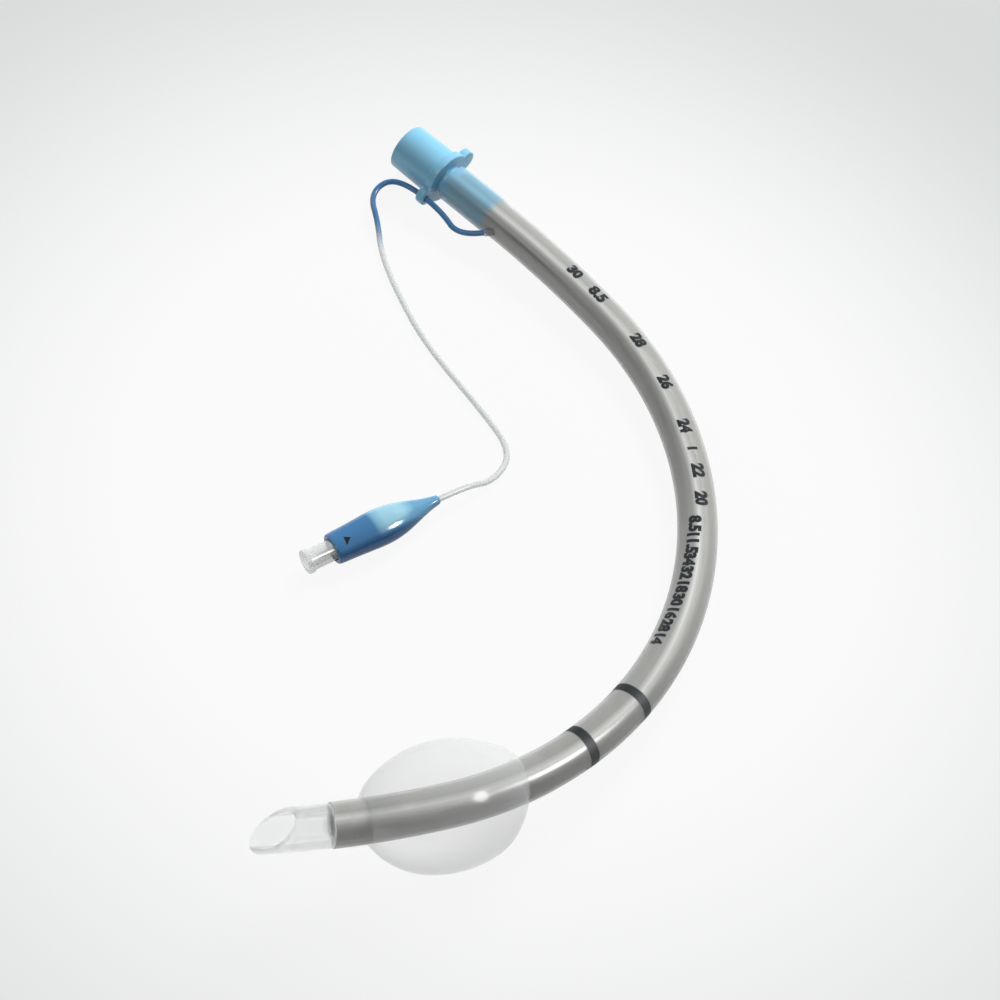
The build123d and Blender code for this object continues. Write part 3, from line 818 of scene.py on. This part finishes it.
along = stops(TUBE_END + 0.02, TUBE_END + TIP_LENGTH + 10, 1.0)
tip = drawn_out(
    "clear_tip",
    [(s, TIP_RADIUS) for s in along] + [(s, BORE_RADIUS) for s in reversed(along)],
    closed=True,
)
bend(tip)
centre, ahead, inside, upward = section_at(TUBE_END + TIP_LENGTH)
lip = -inside * cos(BEVEL_TURN) - upward * sin(BEVEL_TURN)
cut = ahead * sin(BEVEL_ANGLE) - lip * cos(BEVEL_ANGLE)
activate(tip)
bpy.ops.object.mode_set(mode="EDIT")
bpy.ops.mesh.select_all(action="SELECT")
bpy.ops.mesh.bisect(plane_co=centre, plane_no=cut, clear_outer=True)
bpy.ops.mesh.select_all(action="DESELECT")
bpy.ops.mesh.select_non_manifold()
bpy.ops.mesh.bridge_edge_loops()
bpy.ops.mesh.select_all(action="SELECT")
bpy.ops.mesh.normals_make_consistent(inside=False)
bpy.ops.object.mode_set(mode="OBJECT")
soften(tip, 0.4, angle=50)
dress(tip, tip_vinyl, "tip_plastic", "soft_tip", smooth=50)

# %% [markdown]
# ## The cuff
# The cuff is blown out of very thin film, and keeps the shape of an egg between two collars that
# are welded to the tube. The egg is drawn on its own straight axis. Its ends shift towards
# the inside of the curve, where the collars are.

# %% Model the cuff
CUFF_CENTRE, CUFF_SPAN, CUFF_RADIUS = 275.0, 42.2, 16.7
COLLAR_RADIUS, NEAR_COLLAR, FAR_COLLAR = 6.1, 6.5, 4.5
FILM = 0.12


def egg_ring(share):
    """A ring of the egg at a share from -1 to 1 between the collars."""
    half = CUFF_SPAN / 2 / sqrt(1 - (COLLAR_RADIUS / CUFF_RADIUS) ** 2)
    at = sin(share * pi / 2) * CUFF_SPAN / 2
    late = max(abs(at) / CUFF_SPAN * 4 - 1, 0)
    bend_radius = BENDS[1][1] if at < 0 else BENDS[2][1]
    shift = late * late * (3 - 2 * late) * (at * at) / (2 * bend_radius)
    radius = CUFF_RADIUS * sqrt(1 - (at / half) ** 2)
    return at, radius, radius, -shift


cuff = drawn_out("cuff_film", [egg_ring(i / 24) for i in range(-24, 25)], sides=96)
apply_modifier(cuff, "SOLIDIFY", thickness=FILM * MM, offset=-1)
centre, ahead, inside, upward = section_at(CUFF_CENTRE)
put(cuff, Matrix.Translation(centre) @ Matrix((ahead, -inside, upward)).transposed().to_4x4())


def collar(start, end):
    """A sleeve on the wall from one distance to another."""
    band = drawn_out(
        "collar",
        [(s, COLLAR_RADIUS) for s in stops(start, end, 1.0)]
        + [(s, TUBE_RADIUS + 0.02) for s in stops(end, start, 1.0)],
        closed=True,
    )
    soften(band, 0.15, segments=2)
    bend(band)
    return band


near = collar(CUFF_CENTRE - CUFF_SPAN / 2 - NEAR_COLLAR, CUFF_CENTRE - CUFF_SPAN / 2 + 0.6)
far = collar(CUFF_CENTRE + CUFF_SPAN / 2 - 0.6, CUFF_CENTRE + CUFF_SPAN / 2 + FAR_COLLAR)
activate(cuff)
near.select_set(True)
far.select_set(True)
bpy.ops.object.join()
dress(cuff, cuff_film, "cuff_film", "cuff", smooth=50)

# %% [markdown]
# ## The pilot balloon
# A small bag of blue film, welded round the line at its tip and round the valve at its neck. It
# is wider than it is high, so each ring is an ellipse.

# %% Model the balloon
BALLOON_TIP_MM = Vector((-17.1, -9.1, 4.5))
BALLOON_HEADING = radians(213)
BALLOON_LENGTH = 35.0
VALVE_MOUTH = BALLOON_LENGTH + 8.4
balloon_place = (
    Matrix.Translation(BALLOON_TIP_MM * MM) @ Matrix.Rotation(BALLOON_HEADING, 4, "Z")
)
BALLOON_RINGS = (
    (0.0, 1.4, 1.4), (2.5, 1.75, 1.6), (5.3, 2.51, 1.98), (8.0, 3.4, 2.7), (11.2, 4.45, 3.51),
    (14.5, 5.25, 4.2), (18.2, 5.7, 4.5), (22.0, 5.6, 4.4), (25.9, 5.3, 4.18), (30.0, 5.05, 3.95),
    (34.4, 4.9, 3.8), (35.0, 4.6, 3.55),
)
balloon = drawn_out(
    "pilot_bag",
    list(BALLOON_RINGS)
    + [(35.0, 3.2, 3.2), (33.8, 3.15, 3.15)]
    + [(x, w - 0.35, h - 0.35) for x, w, h in reversed(BALLOON_RINGS[1:-2])]
    + [(0.0, 0.95, 0.95)],
    sides=48,
    closed=True,
)
keep_straight(balloon)
apply_modifier(balloon, "SUBSURF", levels=2, render_levels=2)
put(balloon, balloon_place)
dress(balloon, balloon_film, "balloon_film", "pilot_balloon", smooth=60)

# %% [markdown]
# ## The check valve
# A clear turned housing with a lip at its mouth. A syringe's tip pushes the plunger in,
# and the spring behind it closes the valve again. The spring is wound anew, because it has to be
# squashed as the plunger comes in. Plunger and retainer are right as the CAD has them, so they only
# get their materials.

# %% Model the valve
VALVE_RINGS = (
    (0.0, 2.135), (0.0, 3.55), (1.5, 3.55), (1.5, 3.1), (17.0, 3.1), (17.0, 2.2), (8.7, 2.2),
    (8.7, 0.9), (7.5, 0.9), (7.5, 1.94), (1.0, 2.135),
)
valve = drawn_out("valve_housing", [(-x, r) for x, r in VALVE_RINGS], sides=64, closed=True)
soften(valve, 0.18)
valve_place = balloon_place @ Matrix.Translation((VALVE_MOUTH * MM, 0, 0))
put(valve, valve_place)
dress(valve, valve_plastic, "valve_plastic", "valve_body", smooth=35)

for name in ("valve_plunger", "spring_retainer"):
    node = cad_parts[name]
    node.data.materials.clear()
    node.data.materials.append(white_plastic)

# %% [markdown]
# ## The closing spring
# It is wound like the wire in the wall.

# %% Wind the closing spring
SPRING_RADIUS, SPRING_WIRE, SPRING_TURNS = 1.325, 0.35, 4
SPRING_NEAR, SPRING_FAR = 9.95, 15.75

first = -SPRING_FAR + SPRING_WIRE / 2
last = -SPRING_NEAR - SPRING_WIRE / 2
spring = wind("closing_spring", first, last + 0.01, SPRING_RADIUS, SPRING_WIRE,
              (last - first) / SPRING_TURNS, 40, 10)
put(spring, valve_place)
dress(spring, wire_steel, "spring_steel", "valve_spring", smooth=60)
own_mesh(spring)

# %% [markdown]

# %% [markdown]
# ## The marks
# Depth marks are plain numbers in bold type. Each is text, turned to a mesh, wrapped round the
# straight tube and bent with it. The second number is the angle towards the inside of the curve.

# %% Print the marks
MARKS = (
    ("30", 53.5, 2, 3.4), ("8.5", 64.0, 2, 3.6), ("28", 84.0, 4, 3.4), ("26", 100.6, 5, 3.4),
    ("24", 117.0, 7, 3.4), ("I", 125.1, 5, 2.6), ("22", 133.0, 3, 3.4), ("20", 142.8, 5, 3.4),
    ("8.5", 151.8, 26, 3.3), ("11.5", 158.3, 30, 3.3), ("34", 164.3, 33, 3.3),
    ("32", 169.2, 34, 3.3), ("18", 174.1, 36, 3.3), ("30", 179.0, 38, 3.3),
    ("16", 183.9, 40, 3.3), ("28", 188.8, 42, 3.3), ("14", 193.7, 44, 3.3),
)
DIGIT_HEIGHT = 0.72
BOLD, INK_THICKNESS = 0.3, 0.03


def printed(name, words, distance, angle, size):
    """A number laid on the straight tube, wrapped round it, and bent with it."""
    deselect()
    bpy.ops.object.text_add()
    mark = bpy.context.object
    mark.data.body = words
    mark.data.size = size * MM / DIGIT_HEIGHT
    mark.data.offset = BOLD * MM
    mark.data.resolution_u = 3
    mark.data.align_x, mark.data.align_y = "CENTER", "CENTER"
    bpy.ops.object.convert(target="MESH")
    mark = bpy.context.object
    mark.name = mark.data.name = name
    bpy.ops.object.mode_set(mode="EDIT")
    bpy.ops.mesh.select_all(action="SELECT")
    bpy.ops.mesh.quads_convert_to_tris()
    bpy.ops.mesh.subdivide(number_cuts=3)
    bpy.ops.object.mode_set(mode="OBJECT")
    radius = TUBE_RADIUS + INK_THICKNESS
    for vertex in mark.data.vertices:
        turned = -vertex.co.y / MM / radius + radians(angle)
        vertex.co = Vector((
            vertex.co.x + distance * MM, -sin(turned) * radius * MM, cos(turned) * radius * MM))
    bend(mark)
    return mark


marks = [printed(f"mark_{i}", *mark) for i, mark in enumerate(MARKS)]
activate(marks[0])
for mark in marks:
    mark.select_set(True)
bpy.ops.object.join()
marks[0].name = "depth_marks"
dress(marks[0], ink_black, "tube_wall", smooth=60)

# %% [markdown]
# ## Floor and light
# The floor is white paper. It shows a little brighter to the camera than the light makes it,
# as an exposed studio sweep does, and falls off towards the edges. The key lamp stands behind the
# tube and isn't mirrored, because the object's only sharp highlights come from a small lamp on the
# right, which in turn gives no light of its own. A weak lamp on the left opens the shadows.

# %% Set the floor and the light
FALL_START, FALL_END = 0.09, 0.27
GLOW_SHARE = 0.92


def floor_material():
    """White paper that glows to the camera and to what mirrors or bends it."""
    material, tree = new_material("white_paper")
    place = add_node(tree, "TexCoord")
    far_off = add_node(tree, "VectorMath", {0: (place, "Object")}, operation="LENGTH")
    fall = add_node(tree, "MapRange", {
        "Value": (far_off, "Value"), "From Min": FALL_START, "From Max": FALL_END},
        interpolation_type="SMOOTHSTEP")
    colour = add_node(tree, "Mix", {0: (fall, 0), 6: linear("FFFFFF"), 7: linear("DADCDC")},
                      data_type="RGBA")
    paper = add_node(tree, "BsdfDiffuse", {"Color": linear("B4B6B6")})
    glow = add_node(tree, "Emission", {"Color": (colour, 2), "Strength": 1.0})
    path = add_node(tree, "LightPath")
    seen = add_node(tree, "Math", {0: (path, "Is Camera Ray"), 1: (path, "Is Glossy Ray")},
                    operation="MAXIMUM")
    seen = add_node(tree, "Math", {0: (seen, 0), 1: (path, "Is Transmission Ray")},
                    operation="MAXIMUM")
    share = add_node(tree, "Math", {0: (seen, 0), 1: GLOW_SHARE}, operation="MULTIPLY")
    shader = add_node(tree, "MixShader", {0: (share, 0), 1: (paper, 0), 2: (glow, 0)})
    finish_material(tree, shader)
    return material


deselect()
bpy.ops.mesh.primitive_plane_add(size=12.0)
floor = bpy.context.object
floor.name = "floor"
floor.data.materials.append(floor_material())

world = bpy.data.worlds.new("studio")
bpy.context.scene.world = world
world.use_nodes = True
world.node_tree.nodes.clear()
sky = add_node(world.node_tree, "Background", {"Color": linear("F4F6F7"), "Strength": 0.2})
add_node(world.node_tree, "OutputWorld", {"Surface": (sky, 0)})


def softbox(name, place, power, size, lights=True, mirrored=True):
    """A round lamp that points at the object. It may be left out of light or reflections."""
    bpy.ops.object.light_add(type="AREA", location=place)
    lamp = bpy.context.object
    lamp.name = name
    lamp.data.energy, lamp.data.size, lamp.data.shape = power, size, "DISK"
    lamp.visible_diffuse, lamp.visible_glossy = lights, mirrored
    lamp.rotation_euler = (-Vector(place)).to_track_quat("-Z", "Y").to_euler()


softbox("key", (0.35, 0.7, 0.66), 12.5, 0.5, mirrored=False)
softbox("highlight", (0.66, -0.16, 0.73), 11.0, 0.28, lights=False)
softbox("left", (-0.54, -0.31, 0.78), 1.4, 0.3)
bpy.context.scene.view_settings.view_transform = "Standard"
bpy.data.objects.remove(spine)
